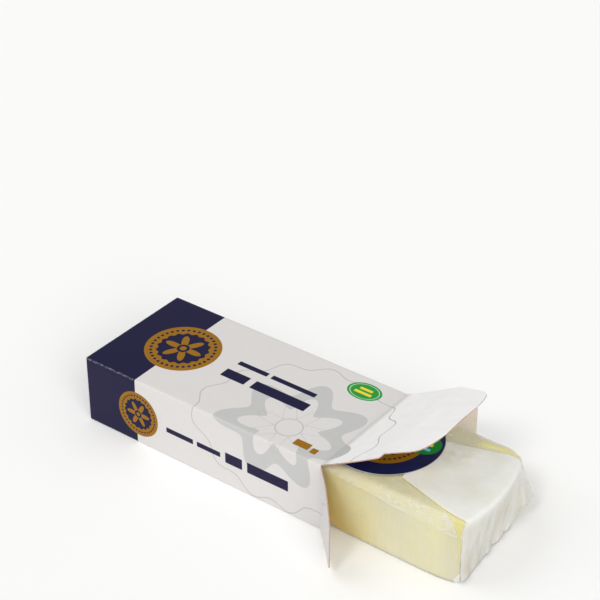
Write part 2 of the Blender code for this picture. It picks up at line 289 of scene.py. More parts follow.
class Print:
    """Plain printed shapes on the flat sheet, as masks, in millimetres along and across it."""

    soft_edge = 0.12

    def __init__(self, place):
        self.along, self.across, _ = axes(place)

    def inside(self, distance):
        """1 where the signed distance from an outline is below 0, with a soft edge."""
        softened = work_out("DIVIDE", distance, -self.soft_edge)
        return work_out("ADD", softened, 0.5, clamp=True)

    def from_centre(self, u, v, stretch=1.0):
        """The steps along and across from a centre, and the straight distance from it."""
        along = work_out("DIVIDE", minus(self.along, u), stretch)
        across = minus(self.across, v)
        return along, across, hypotenuse(along, across)

    def disc(self, u, v, radius, stretch=1.0):
        reach = self.from_centre(u, v, stretch)[2]
        return self.inside(minus(reach, radius))

    def ring(self, u, v, radius, thickness, stretch=1.0):
        reach = self.from_centre(u, v, stretch)[2]
        return self.inside(minus(away_from(reach, radius), thickness / 2))

    def petals(self, u, v, radius, count, depth, turn=0.0, line=None):
        """A flower outline: filled, or a line of this thickness."""
        along, across, reach = self.from_centre(u, v)
        angle = work_out("ARCTAN2", across, along)
        swing = work_out("COSINE", scaled(angle, float(count), turn))
        edge = scaled(swing, radius * depth, radius * (1 - depth))
        off_edge = minus(reach, edge)
        if line:
            off_edge = minus(work_out("ABSOLUTE", off_edge), line / 2)
        return self.inside(off_edge)

    def beads(self, u, v, radius, count, size):
        """Round dots spaced evenly about a circle."""
        along, across, reach = self.from_centre(u, v)
        turns = times(work_out("ARCTAN2", across, along), count / math.tau)
        past_bead = minus(turns, work_out("ROUND", turns))
        aside = times(past_bead, math.tau * radius / count)
        off_bead = hypotenuse(aside, minus(reach, radius))
        return self.inside(minus(off_bead, size / 2))

    def bar(self, u_low, u_high, v_low, v_high):
        off_u = away_from(self.along, (u_low + u_high) / 2)
        off_v = away_from(self.across, (v_low + v_high) / 2)
        past_u = minus(off_u, (u_high - u_low) / 2)
        past_v = minus(off_v, (v_high - v_low) / 2)
        return self.inside(work_out("SMOOTH_MAX", past_u, past_v, BAR_CORNER))


# The print, laid out on the flat blank: along it from the shut end, across it from the near top fold.
# A navy band, gold roundels with a plain flower, grey flower outlines, and plain bars.
NAVY_INK = colour(20, 17, 56)
GOLD_INK = colour(150, 103, 10)
GREY_INK = colour(192, 192, 191)
PALE_LINE = colour(186, 186, 185)
GREEN_INK = colour(40, 148, 60)
YELLOW_INK = colour(236, 214, 60)
COATED_WHITE = colour(217, 214, 212)
LIT_PANEL_WHITE = colour(249, 248, 247)
BAND_WIDTH = 26.9
BAR_CORNER = 0.5
TOP_MIDDLE = WIDTH / 2
NEAR_MIDDLE = -16.4
FAR_MIDDLE = WIDTH + 16.4
SIDE_BARS_SHIFT = 1.0
ROUNDEL_U = 28.0
MOTIF_U, MOTIF_V = 96.0, 12.0
MOTIF_TURN = 0.6
OVAL_U, OVAL_V = 105.6, 49.2
OVAL_STRETCH = 1.37

print_group, print_in, print_out = new_group(
    "carton print",
    [("Sheet", "NodeSocketVector")],
    [("Color", "NodeSocketColor"), ("Ink", "NodeSocketFloat")],
)
press = Print(print_in.outputs["Sheet"])
# The closure panel and its tongue, past the top wall, are painted a brighter white than the rest of the
# board: painted light on the lifted panels.
on_lifted_panels = times(
    ramp(press.along, LENGTH + 1.0, LENGTH + 4.0),
    ramp(press.across, 0.0, 0.5),
    ramp(press.across, WIDTH, WIDTH - 0.5),
)
printed = lay_over(COATED_WHITE, LIT_PANEL_WHITE, on_lifted_panels)
for ink, outline in (
    (PALE_LINE, press.petals(MOTIF_U, MOTIF_V, 43.0, 14, 0.04, line=0.55)),
    (GREY_INK, press.petals(MOTIF_U, MOTIF_V, 31.0, 7, 0.16, turn=MOTIF_TURN)),
    (COATED_WHITE, press.petals(MOTIF_U, MOTIF_V, 21.0, 7, 0.22, turn=MOTIF_TURN)),
    (PALE_LINE, press.petals(MOTIF_U, MOTIF_V, 16.0, 7, 0.30, turn=3.7, line=0.5)),
    (PALE_LINE, press.ring(MOTIF_U, MOTIF_V, 5.5, 0.5)),
):
    printed = lay_over(printed, ink, outline)

ink_cover = press.inside(minus(press.along, BAND_WIDTH))
printed = lay_over(printed, NAVY_INK, ink_cover)


def add_ink(ink, mask):
    """Prints one more shape in a solid ink, and keeps count of where the sheet is inked."""
    global printed, ink_cover
    printed = lay_over(printed, ink, mask)
    ink_cover = strongest(ink_cover, mask)


for middle, radius in ((TOP_MIDDLE, 16.2), (NEAR_MIDDLE, 10.5), (FAR_MIDDLE, 10.5)):
    add_ink(GOLD_INK, press.disc(ROUNDEL_U, middle, radius))
    add_ink(NAVY_INK, press.beads(ROUNDEL_U, middle, 0.83 * radius, 36, 0.085 * radius))
    add_ink(NAVY_INK, press.petals(ROUNDEL_U, middle, 0.70 * radius, 18, 0.04))
    add_ink(GOLD_INK, press.petals(ROUNDEL_U, middle, 0.56 * radius, 6, 0.34))
    add_ink(NAVY_INK, press.disc(ROUNDEL_U, middle, 0.17 * radius))
    add_ink(GOLD_INK, press.disc(ROUNDEL_U, middle, 0.09 * radius))
# On the top wall a light line over a bold one, the green oval with its two bars, and the short gold bar.
for bar in ((53, 68, 33.6, 36.2), (70, 92, 33.6, 36.2), (52, 64, 23.6, 29.0), (67, 94, 23.6, 29.0)):
    add_ink(NAVY_INK, press.bar(*bar))
add_ink(GREEN_INK, press.disc(OVAL_U, OVAL_V, 5.6, stretch=OVAL_STRETCH))
add_ink(colour(190, 222, 190), press.ring(OVAL_U, OVAL_V, 4.7, 0.28, stretch=OVAL_STRETCH))
for bar in ((102.6, 108.6, 49.9, 51.3), (101.6, 109.6, 47.2, 48.7)):
    add_ink(YELLOW_INK, press.bar(*bar))
for bar in ((103.0, 110.2, 4.6, 8.4), (111.4, 114.2, 4.0, 7.2)):
    add_ink(GOLD_INK, press.bar(*bar))
# On each side wall one line: two light bars and two bold ones.
SIDE_BARS = ((43.0, 57.0, 1.2), (59.0, 71.0, 1.2), (73.5, 82.0, 2.5), (84.5, 104.6, 2.5))
for middle in (NEAR_MIDDLE - SIDE_BARS_SHIFT, FAR_MIDDLE + SIDE_BARS_SHIFT):
    for start, end, half_height in SIDE_BARS:
        add_ink(NAVY_INK, press.bar(start, end, middle - half_height, middle + half_height))

# Where the board is folded, the coating cracks a little and the ink wears off the ridge.
to_fold = away_from(press.across, 0.0)
for fold_place in (-HEIGHT, WIDTH, WIDTH + HEIGHT, -HEIGHT - WIDTH):
    to_fold = work_out("MINIMUM", to_fold, away_from(press.across, fold_place))
for fold_place in (0.0, LENGTH):
    to_fold = work_out("MINIMUM", to_fold, away_from(press.along, fold_place))
on_ridge = opposite(ramp(to_fold, 0.15, 0.75))
scuffed = ramp(speckle(print_in.outputs["Sheet"], 1.6, 4.0, 0.7), 0.42, 0.72)
printed = lay_over(printed, colour(196, 193, 192), times(on_ridge, scuffed, 0.55))
feed_all(print_out, Color=printed, Ink=ink_cover)


def set_relief(shader, height, depth, strength=1.0):
    """Feeds a height of 0 to 1, this many metres deep, to the shader's normal."""
    bump = node_beside("ShaderNodeBump", height)
    feed_all(bump, Height=height, Distance=depth, Strength=strength)
    feed(shader.inputs["Normal"], bump.outputs["Normal"])


def sheet_place(shader):
    """The place on the flat sheet, in millimetres."""
    node = shader.id_data.nodes.new("ShaderNodeUVMap")
    node.uv_map = "sheet"
    return node.outputs["UV"]


printed_board, shader = principled("printed board")
place = sheet_place(shader)
pressed = place_group(print_group, Sheet=place)
grain = place_group(grain_group, Place=place, Tooth=0.35, Wave=1.0)
unprinted = opposite(pressed.outputs["Ink"])
shade = times(ramp(grain.outputs["Mottle"], 0.35, 0.65), unprinted, 0.10)
face = lay_over(pressed.outputs["Color"], colour(206, 202, 196), shade)
sheen = scaled(grain.outputs["Mottle"], 0.06, scaled(pressed.outputs["Ink"], -0.10, 0.46))
feed_all(shader, Base_Color=face, Roughness=sheen, Specular_IOR_Level=0.16)
set_relief(shader, grain.outputs["Height"], 0.05 * MM)

inside_board, shader = principled("board inside")
place = sheet_place(shader)
grain = place_group(grain_group, Place=place, Tooth=1.0, Wave=1.0)
flecks = ramp(speckle(place, 0.9, 3.0, 0.7), 0.60, 0.72)
bare = lay_over(colour(240, 231, 218), colour(226, 214, 198), grain.outputs["Mottle"])
bare = lay_over(bare, colour(192, 178, 158), times(flecks, 0.40))
feed_all(shader, Base_Color=bare, Roughness=0.82)
set_relief(shader, grain.outputs["Height"], 0.06 * MM)

cut_edge, shader = principled("board cut edge")
place = sheet_place(shader)
fibres = speckle(place, 0.5, 4.0, 0.7)
pulp = lay_over(colour(206, 176, 160), colour(166, 132, 114), ramp(fibres, 0.35, 0.65))
feed_all(shader, Base_Color=pulp, Roughness=0.9)
set_relief(shader, fibres, 0.08 * MM)


def grid_mesh(name, points, sheet=None):
    """A mesh on a grid of points, [row][column], whose faces look along column step x row step."""
    rows, columns = points.shape[:2]
    number = np.arange(rows * columns).reshape(rows, columns)
    faces = np.stack(
        [number[:-1, :-1], number[:-1, 1:], number[1:, 1:], number[1:, :-1]], axis=-1
    ).reshape(-1, 4)
    mesh = bpy.data.meshes.new(name)
    mesh.from_pydata((points.reshape(-1, 3) * MM).tolist(), [], faces.tolist())
    if sheet is not None:
        layer = mesh.uv_layers.new(name="sheet")
        corner = np.empty(len(mesh.loops), dtype=np.int32)
        mesh.loops.foreach_get("vertex_index", corner)
        layer.uv.foreach_set("vector", sheet.reshape(-1, 2)[corner].astype(np.float32).ravel())
    return mesh


def board_sheet(name, points, sheet):
    """A panel of board: a printed face on a grid of points, its thickness behind, and bare cut edges."""
    mesh = grid_mesh(name, points, sheet)
    for material in (printed_board, inside_board, cut_edge):
        mesh.materials.append(material)
    panel = in_scene(name, mesh)
    thickness = panel.modifiers.new("board", "SOLIDIFY")
    thickness.thickness = BOARD * MM
    thickness.offset = -1.0
    thickness.use_even_offset = True
    thickness.material_offset = 1
    thickness.material_offset_rim = 2
    return settle(panel)


def settle(piece, smooth_under=40.0):
    """Applies the piece's modifiers and shades it smooth, but for its sharp edges."""
    graph = bpy.context.evaluated_depsgraph_get()
    mesh = bpy.data.meshes.new_from_object(piece.evaluated_get(graph))
    piece.modifiers.clear()
    piece.data = mesh
    mesh.shade_smooth()
    mesh.set_sharp_from_angle(angle=math.radians(smooth_under))
    return piece


def grid_of(*coordinates):
    """Coordinates spread over one grid of points, and put together."""
    return np.stack(np.broadcast_arrays(*coordinates), axis=-1)


def fold_arc(centre_y, centre_z, start, end, radius, steps=6):
    """Points (y, z) round a fold, between two angles in degrees from +Y towards +Z."""
    angles = np.radians(np.linspace(start, end, steps + 1))
    return grid_of(centre_y + radius * np.cos(angles), centre_z + radius * np.sin(angles))


def straight(start, end, step=2.0):
    count = max(int(np.ceil(np.linalg.norm(np.subtract(end, start)) / step)), 1)
    return np.linspace(start, end, count + 1)


# The wall's path round the section, from the far wall's foot over the top to the glue flap, with its
# place across the flat sheet beside each point.
glue_y = SIDE_Y - BOARD - GLUE_LINE
path_parts = [
    (straight((SIDE_Y, 0.05), (SIDE_Y, HEIGHT - FOLD)), WIDTH + HEIGHT, WIDTH + FOLD),
    (fold_arc(SIDE_Y - FOLD, HEIGHT - FOLD, 0, 90, FOLD), WIDTH + FOLD, WIDTH - FOLD),
    (straight((SIDE_Y - FOLD, HEIGHT), (FOLD - SIDE_Y, HEIGHT)), WIDTH - FOLD, FOLD),
    (fold_arc(FOLD - SIDE_Y, HEIGHT - FOLD, 90, 180, FOLD), FOLD, -FOLD),
    (straight((-SIDE_Y, HEIGHT - FOLD), (-SIDE_Y, FOLD)), -FOLD, FOLD - HEIGHT),
    (fold_arc(FOLD - SIDE_Y, FOLD, 180, 270, FOLD), FOLD - HEIGHT, -FOLD - HEIGHT),
    (straight((FOLD - SIDE_Y, 0), (glue_y - FOLD, 0)), -FOLD - HEIGHT, FOLD - HEIGHT - WIDTH),
    (fold_arc(glue_y - FOLD, FOLD, -90, 0, FOLD), FOLD - HEIGHT - WIDTH, -HEIGHT - WIDTH - FOLD),
    (straight((glue_y, FOLD), (glue_y, GLUE_FLAP)), -HEIGHT - WIDTH - FOLD, -HEIGHT - WIDTH - GLUE_FLAP),
]
section, across_sheet = [], []
for points, v_start, v_end in path_parts:
    places = np.linspace(v_start, v_end, len(points))
    shared_points = 1 if section else 0
    section.extend(points[shared_points:])
    across_sheet.extend(places[shared_points:])
section, across_sheet = np.array(section), np.array(across_sheet)

along_sleeve = np.linspace(-MOUTH_X + FOLD, MOUTH_X, 61)
sleeve_points = grid_of(along_sleeve[:, None], section[:, 0], section[:, 1])
# Each wall bows a little between its folds, and not at all at the mouth and the shut end.
bow = WALL_BOW * np.sin(np.pi * (along_sleeve + MOUTH_X) / LENGTH)[:, None]
sleeve_points[..., 2] += bow * np.sin(np.pi * np.clip(across_sheet / WIDTH, 0, 1))
sleeve_points[..., 1] -= bow * np.sin(np.pi * np.clip(-across_sheet / HEIGHT, 0, 1))
sleeve_sheet = grid_of(along_sleeve[:, None] + MOUTH_X, across_sheet)
sleeve = board_sheet("carton_sleeve", sleeve_points, sleeve_sheet)
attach(sleeve, CARTON_BODY)
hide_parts("carton")


# The shut end: two dust flaps folded in from the side walls, and over them the closure panel, folded down
# from the top wall and tucked inside the bottom one. All three are navy, as the band runs over them.
SHUT_TUCK = 9.0
SHUT_CLEARANCE = 0.1
SHUT_PANEL_MARGIN = 0.6
SHUT_FLAP_REACH = 22.0
SHUT_FLAP_LOW = 0.6
SHUT_FLAP_MARGIN = 0.4


def length_along(path):
    """How far each point of a path lies along it."""
    return np.concatenate([[0], np.cumsum(np.linalg.norm(np.diff(path, axis=0), axis=1))])


shut_x = -MOUTH_X
tuck_z = BOARD + SHUT_CLEARANCE
shut_path = np.vstack([
    fold_arc(shut_x + FOLD, HEIGHT - FOLD, 90, 180, FOLD),
    straight((shut_x, HEIGHT - FOLD), (shut_x, tuck_z + FOLD), 3.0)[1:],
    fold_arc(shut_x + FOLD, tuck_z + FOLD, 180, 270, FOLD)[1:],
    straight((shut_x + FOLD, tuck_z), (shut_x + SHUT_TUCK, tuck_z), 3.0)[1:],
])
shut_across = np.linspace(SIDE_Y - SHUT_PANEL_MARGIN, SHUT_PANEL_MARGIN - SIDE_Y, 30)
end_points = grid_of(shut_path[:, None, 0], shut_across, shut_path[:, None, 1])
end_sheet = grid_of(-length_along(shut_path)[:, None], shut_across + SIDE_Y)
shut_panel = board_sheet("shut_end_panel", end_points[:, ::-1], end_sheet[:, ::-1])
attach(shut_panel, CARTON_BODY)

for side, flap_name in ((-1, "shut_near_dust_flap"), (1, "shut_far_dust_flap")):
    # In plan, from the wall's end round the fold and across behind the closure panel.
    behind = shut_x + BOARD + SHUT_CLEARANCE / 2
    turn = fold_arc(SIDE_Y - FOLD, 0, 0, 90, FOLD)
    plan = [(side * aside, behind + FOLD - back) for aside, back in turn]
    runs = np.linspace(0, SHUT_FLAP_REACH, 5)[1:]
    plan = np.array(plan + [(side * (SIDE_Y - FOLD - run), behind) for run in runs])
    heights = np.linspace(SHUT_FLAP_LOW, HEIGHT - FOLD - SHUT_FLAP_MARGIN, 12)
    flap_points = grid_of(plan[:, None, 1], plan[:, None, 0], heights)
    flap_across = side * (HEIGHT - heights) + (WIDTH if side > 0 else 0)
    flap_sheet = grid_of(-length_along(plan)[:, None], flap_across)
    if side > 0:
        flap_points, flap_sheet = flap_points[:, ::-1], flap_sheet[:, ::-1]
    flap = board_sheet(flap_name, flap_points, flap_sheet)
    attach(flap, CARTON_BODY)


# The closure panel and its tuck tongue at the mouth, cut from the same blank as the top wall and bent up
# along soft creases. The tongue is slit free of the panel's corners, which leaves a small step.
PANEL_LENGTH = 29.8
PANEL_LIFT = math.radians(30.3)
TONGUE_LENGTH = 18.6
TONGUE_LIFT = math.radians(25.0)
PANEL_HALF_WIDTH = 28.5
PANEL_TAPER = 0.4
PANEL_CORNER = 0.8
PANEL_SAG = 0.25
PANEL_SAG_END = 28.6
TONGUE_NEAR = 24.9
TONGUE_FAR = 27.6
TONGUE_CURL = 0.35
CREASE_RUN = 1.0
TONGUE_CREASE_RUN = 0.5
SLIT = 0.2


def lifted(run, across, hinge_x, hinge_z, lift):
    """Points on a panel that rises from a crease across the carton: run along it, place across it."""
    return grid_of(hinge_x + run * math.cos(lift), across, hinge_z + run * math.sin(lift))


def sheet_at(run, across, start):
    return grid_of(LENGTH + start + run, across + SIDE_Y)


def corner_cut(run, end, radius):
    """How far a rounded corner at the free end takes a panel's side in, at a place along it."""
    past = np.clip(run - (end - radius), 0, radius)
    return radius - np.sqrt(np.maximum(radius**2 - past**2, 0.0))


far_to_near = np.linspace(1, -1, 41)[None]
panel_end_run = PANEL_LENGTH - SLIT
corner_runs = panel_end_run - PANEL_CORNER + np.linspace(0, PANEL_CORNER, 5)
panel_run = np.concatenate([[CREASE_RUN], np.linspace(2.5, 28.5, 19), corner_runs])[:, None]
panel_tapered = PANEL_HALF_WIDTH - PANEL_TAPER * panel_run / PANEL_LENGTH
panel_across = far_to_near * (panel_tapered - corner_cut(panel_run, panel_end_run, PANEL_CORNER))
panel_points = lifted(panel_run, panel_across, MOUTH_X, HEIGHT, PANEL_LIFT)
panel_share = np.clip((panel_run - CREASE_RUN) / (PANEL_SAG_END - CREASE_RUN), 0, 1)
sag = PANEL_SAG * np.sin(np.pi * panel_share)
panel_points[..., 2] -= sag * np.cos(PANEL_LIFT)
panel_points[..., 0] += sag * np.sin(PANEL_LIFT)
closure = board_sheet("closure_panel_board", panel_points, sheet_at(panel_run, panel_across, 0.0))
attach(closure, "closure_panel")
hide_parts("closure_panel")


def crease_strip(name, start, end, start_way, end_way, aside_way, asides, sheet_start, sheet_way):
    """The bent strip of board along a crease, which turns from one panel to the next."""
    steps = np.linspace(0, 1, 9)
    start, end = np.array(start), np.array(end)
    reach = np.linalg.norm(end - start)
    start_way, end_way = np.array(start_way) * reach, np.array(end_way) * reach
    curve = (
        np.outer(2 * steps**3 - 3 * steps**2 + 1, start)
        + np.outer(steps**3 - 2 * steps**2 + steps, start_way)
        + np.outer(3 * steps**2 - 2 * steps**3, end)
        + np.outer(steps**3 - steps**2, end_way)
    )
    aside = np.linspace(*asides, 41)
    points = curve[:, None] + aside[None, :, None] * np.array(aside_way)
    sheet = grid_of(sheet_start[0] + steps[:, None] * reach, sheet_start[1] + aside * sheet_way)
    strip = board_sheet(name, points, sheet)
    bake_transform(strip)


rise = (math.cos(PANEL_LIFT), 0.0, math.sin(PANEL_LIFT))
tongue_rise = (math.cos(TONGUE_LIFT), 0.0, math.sin(TONGUE_LIFT))
panel_start = (MOUTH_X + CREASE_RUN * rise[0], 0.0, HEIGHT + CREASE_RUN * rise[2])
crease_strip(
    "closure_crease_board",
    (MOUTH_X, 0.0, HEIGHT),
    panel_start,
    (1.0, 0.0, 0.0),
    rise,
    (0.0, 1.0, 0.0),
    (PANEL_HALF_WIDTH, -PANEL_HALF_WIDTH),
    (LENGTH, SIDE_Y),
    1.0,
)

# The tongue's outline closes at a full length a little past its free edge, which is cut straight there.
tongue_x = MOUTH_X + PANEL_LENGTH * rise[0]
tongue_z = HEIGHT + PANEL_LENGTH * rise[2]
tongue_end_share = 0.975
tongue_full = TONGUE_LENGTH / tongue_end_share
tongue_start_share = TONGUE_CREASE_RUN / tongue_full
denser_to_end = 1 - (1 - np.linspace(tongue_start_share, 1, 34)) ** 2
tongue_share = np.concatenate([[tongue_start_share], tongue_end_share * denser_to_end[1:]])[:, None]


def tongue_width(share, half_width, taper, squareness):
    """The tongue's half width: it tapers, and rounds over to its free edge."""
    return half_width * (1 - taper * share) * np.sqrt(1 - share**squareness)


tongue_across = np.where(
    far_to_near > 0,
    far_to_near * tongue_width(tongue_share, TONGUE_FAR, 0.20, 12),
    far_to_near * tongue_width(tongue_share, TONGUE_NEAR, 0.09, 8),
)
tongue_run = tongue_share * tongue_full
tongue_points = lifted(tongue_run, tongue_across, tongue_x, tongue_z, TONGUE_LIFT)
tongue_points[..., 2] -= TONGUE_CURL * (tongue_share / tongue_end_share) ** 2 * far_to_near**2
tongue_sheet = sheet_at(tongue_run, tongue_across, PANEL_LENGTH)
tongue = board_sheet("tuck_tongue_board", tongue_points, tongue_sheet)
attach(tongue, "tuck_tongue")
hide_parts("tuck_tongue")

tongue_root = np.array([tongue_x, 0.0, tongue_z]) + TONGUE_CREASE_RUN * np.array(tongue_rise)
crease_strip(
    "tongue_crease_board",
    (MOUTH_X + panel_end_run * rise[0], 0.0, HEIGHT + panel_end_run * rise[2]),
    tongue_root,
    rise,
    tongue_rise,
    (0.0, 1.0, 0.0),
    (TONGUE_FAR, -TONGUE_NEAR),
    (LENGTH + panel_end_run, SIDE_Y),
    1.0,
)


# The two dust flaps at the mouth, hinged on the side walls' upright creases and swung out. They are
# narrower towards their free ends, so that they slip in under the closure panel when the carton is shut.
DUST_LENGTH = 28.6
DUST_SHOULDER = 11.0
DUST_CORNER = 3.0
DUST_BEND = 0.3
DUST_LOW, DUST_LOW_END = 0.7, 4.0
DUST_HIGH, DUST_HIGH_END = 30.2, 25.2
NEAR_SWING = math.radians(47.3)
FAR_SWING = math.radians(40.0)
round_corner = DUST_LENGTH - DUST_CORNER + DUST_CORNER * np.sin(np.linspace(0.15, math.pi / 2, 10))
dust_run = np.concatenate([[CREASE_RUN], np.linspace(3, 25, 12), round_corner])


def dust_edge(run, at_crease, at_end):
    """The height of the flap's upper or lower edge: level, then sloping, then rounded at the corner."""
    past_shoulder = np.clip((run - DUST_SHOULDER) / (DUST_LENGTH - DUST_SHOULDER), 0, 1)
    sloping = at_crease + (at_end - at_crease) * past_shoulder
    return sloping + np.sign(at_end - at_crease) * corner_cut(run, DUST_LENGTH, DUST_CORNER)


for side, swing, body in ((-1, NEAR_SWING, "near_dust_flap"), (1, FAR_SWING, "far_dust_flap")):
    low_edge = dust_edge(dust_run, DUST_LOW, DUST_LOW_END)
    high_edge = dust_edge(dust_run, DUST_HIGH, DUST_HIGH_END)
    down = np.linspace(0, 1, 21)[None]
    heights = high_edge[:, None] + (low_edge - high_edge)[:, None] * (down if side < 0 else 1 - down)
    way = np.array([math.cos(swing), side * math.sin(swing), 0.0])
    out = np.array([-math.sin(swing), side * math.cos(swing), 0.0])
    bend = -DUST_BEND * np.sin(np.pi * np.clip((dust_run - CREASE_RUN) / (DUST_LENGTH - CREASE_RUN), 0, 1))
    wall_end = np.array([MOUTH_X, side * SIDE_Y, 0.0])
    flap_points = (
        wall_end
        + dust_run[:, None, None] * way
        + bend[:, None, None] * out
        + heights[..., None] * np.array([0.0, 0.0, 1.0])
    )
    flap_across = heights - HEIGHT if side < 0 else WIDTH + HEIGHT - heights
    flap_sheet = grid_of(LENGTH + dust_run[:, None], flap_across)
    flap = board_sheet(body + "_board", flap_points, flap_sheet)
    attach(flap, body)
    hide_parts(body)
    crease_strip(
        body + "_crease_board",
        wall_end,
        wall_end + CREASE_RUN * way,
        (1.0, 0.0, 0.0),
        way,
        (0.0, 0.0, 1.0),
        (DUST_HIGH, DUST_LOW) if side < 0 else (DUST_LOW, DUST_HIGH),
        (LENGTH, -HEIGHT if side < 0 else WIDTH + HEIGHT),
        1.0 if side < 0 else -1.0,
    )


# The butter: a moulded block of pale yellow butter. It lies on the board inside the carton and sags onto
# the table outside it, and its near top edge is knocked and rounded more towards the outer end.
BLOCK_INNER_X = 5.0
BLOCK_OUTER_X = 120.0
BLOCK_HALF_WIDTH = 25.7
BLOCK_TOP = 29.0
BLOCK_END_ROUNDING = 0.8
FOOT_ROUNDING = 0.9
FAR_EDGE_ROUNDING = 0.8
WORN_RUN = 3.4
WORN_DROP_AT_MOUTH = 2.0
WORN_DROP_GROWTH = 4.6
NEAR_CORNER_RUN, NEAR_CORNER_INSET = 12.0, 2.0
FAR_CORNER_RUN = 8.0
FAR_CORNER_FOOT_INSET, FAR_CORNER_TOP_INSET = 6.0, 2.4
EAR_HEIGHT = 10.0
EAR_WIDTH, EAR_REACH = 2.6, 5.5
END_TOP_X, END_TOP_Y = 122.7, -4.4
END_FOOT_X, END_FOOT_SLANT = 118.0, 0.075
END_STRETCH_X = 98.0
BOARD_END_X, TABLE_START_X = MOUTH_X + 0.3, MOUTH_X + 7.3
FOOT_ON_BOARD = BOARD + 0.3
FILM_DEPTH = 0.35


def blend(start, end, value):
    share = np.clip((value - start) / (end - start), 0, 1)
    return share * share * (3 - 2 * share)


def ear_share(z):
    """1 at the height of the pinched corner's ear, falling straight to 0 at the foot and the top."""
    return np.clip(np.minimum(z / EAR_HEIGHT, (BLOCK_TOP - z) / (BLOCK_TOP - EAR_HEIGHT)), 0, 1)


def end_reach(y, share):
    """How far along X the outer end reaches: bowed out at the top, and nearly straight at the foot."""
    off_bow = y - END_TOP_Y
    at_top = END_TOP_X - np.where(off_bow < 0, 2.3 * (off_bow / 18.7) ** 2, 5.9 * (off_bow / 26.6) ** 2)
    at_foot = END_FOOT_X - END_FOOT_SLANT * y
    return at_foot + (at_top - at_foot) * share


def wrapped_form(points):
    """Moves points of the straight block to where the wrapped and handled block has them."""
    x, y, z = points[..., 0], points[..., 1], points[..., 2]
    share = np.clip(z / BLOCK_TOP, 0, 1)
    near_rounding = np.maximum((x - BLOCK_OUTER_X) / NEAR_CORNER_RUN + 1, 0) ** 2
    far_rounding = np.maximum((x - BLOCK_OUTER_X) / FAR_CORNER_RUN + 1, 0) ** 2
    ear = ear_share(z)
    plain_inset = FAR_CORNER_FOOT_INSET + (FAR_CORNER_TOP_INSET - FAR_CORNER_FOOT_INSET) * share
    far_inset = plain_inset * (1 - ear) - EAR_WIDTH * ear
    moved_y = np.where(
        y < 0,
        y * (1 - near_rounding * NEAR_CORNER_INSET / BLOCK_HALF_WIDTH),
        y * (1 - far_rounding * far_inset / BLOCK_HALF_WIDTH),
    )
    reach = end_reach(moved_y, share) + EAR_REACH * ear * blend(10.0, BLOCK_HALF_WIDTH, moved_y)
    moved_x = x + blend(END_STRETCH_X, BLOCK_OUTER_X, x) * (reach - BLOCK_OUTER_X)
    moved_z = z + (1 - share) * (1 - blend(BOARD_END_X, TABLE_START_X, x)) * FOOT_ON_BOARD
    return grid_of(moved_x, moved_y, moved_z)


def worn_drop(x):
    """How far below the top the worn near edge starts: further down towards the outer end."""
    out_of_mouth = np.clip((x - MOUTH_X) / (BLOCK_OUTER_X - MOUTH_X), 0, 1)
    return WORN_DROP_AT_MOUTH + WORN_DROP_GROWTH * out_of_mouth**1.2


def block_section(x, inset):
    """The block's outline at one place along it, anticlockwise seen from the mouth: (y, z) points."""
    half, top, foot = BLOCK_HALF_WIDTH - inset, BLOCK_TOP - inset, inset
    drop = worn_drop(x)
    bend = np.linspace(0, 1, 13)[:, None]
    worn_from = np.array([-half + WORN_RUN, top])
    worn_corner = np.array([-half + 0.5, top - 0.15 * drop])
    worn_to = np.array([-half, top - drop])
    worn = (1 - bend) ** 2 * worn_from + 2 * bend * (1 - bend) * worn_corner + bend**2 * worn_to
    foot_z = foot + FOOT_ROUNDING
    far_y, far_z = half - FAR_EDGE_ROUNDING, top - FAR_EDGE_ROUNDING
    parts = [
        np.linspace((FOOT_ROUNDING - half, foot), (half - FOOT_ROUNDING, foot), 27),
        fold_arc(half - FOOT_ROUNDING, foot_z, -90, 0, FOOT_ROUNDING, 4)[1:],
        np.linspace((half, foot_z), (half, far_z), 20)[1:],
        fold_arc(far_y, far_z, 0, 90, FAR_EDGE_ROUNDING, 5)[1:],
        np.linspace((far_y, top), tuple(worn_from), 31)[1:],
        worn[1:],
        np.linspace(tuple(worn_to), (-half, foot_z), 20)[1:],
        fold_arc(FOOT_ROUNDING - half, foot_z, 180, 270, FOOT_ROUNDING, 4)[1:],
    ]
    return np.vstack(parts)


def block_skin(inset, step=1.0):
    """Rings of points over the whole block, from the middle of its inner end to that of its outer one."""
    rounding = BLOCK_END_ROUNDING
    first, last = BLOCK_INNER_X + inset, BLOCK_OUTER_X - inset
    # Each ring: how far it lies in from the end, its scale about the middle, and how much it is shrunk.
    end_rings = [(0.0, scale, rounding) for scale in np.linspace(0.04, 1, 14)[:-1]]
    for angle in np.radians(np.linspace(0, 90, 6)):
        end_rings.append((rounding * (1 - math.cos(angle)), 1.0, rounding * (1 - math.sin(angle))))
    rings = [(first + back, scale, shrink) for back, scale, shrink in end_rings]
    rings += [(x, 1.0, 0.0) for x in np.arange(first + rounding + step, last - rounding - 0.5 * step, step)]
    rings += [(last - back, scale, shrink) for back, scale, shrink in end_rings[::-1]]
    skin = []
    middle = np.array([0.0, BLOCK_TOP / 2])
    for x, scale, shrink in rings:
        outline = middle + (block_section(x, inset + shrink) - middle) * scale
        skin.append(np.column_stack([np.full(len(outline), x), outline]))
    return np.array(skin)


def ripple(points, size, seed):
    """Smooth noise between about -1 and 1 at each point, with waves of this size along each axis."""
    scaled = points / np.array(size) + seed
    flat = [noise.noise(Vector(place)) for place in scaled.reshape(-1, 3)]
    return np.array(flat).reshape(points.shape[:-1])


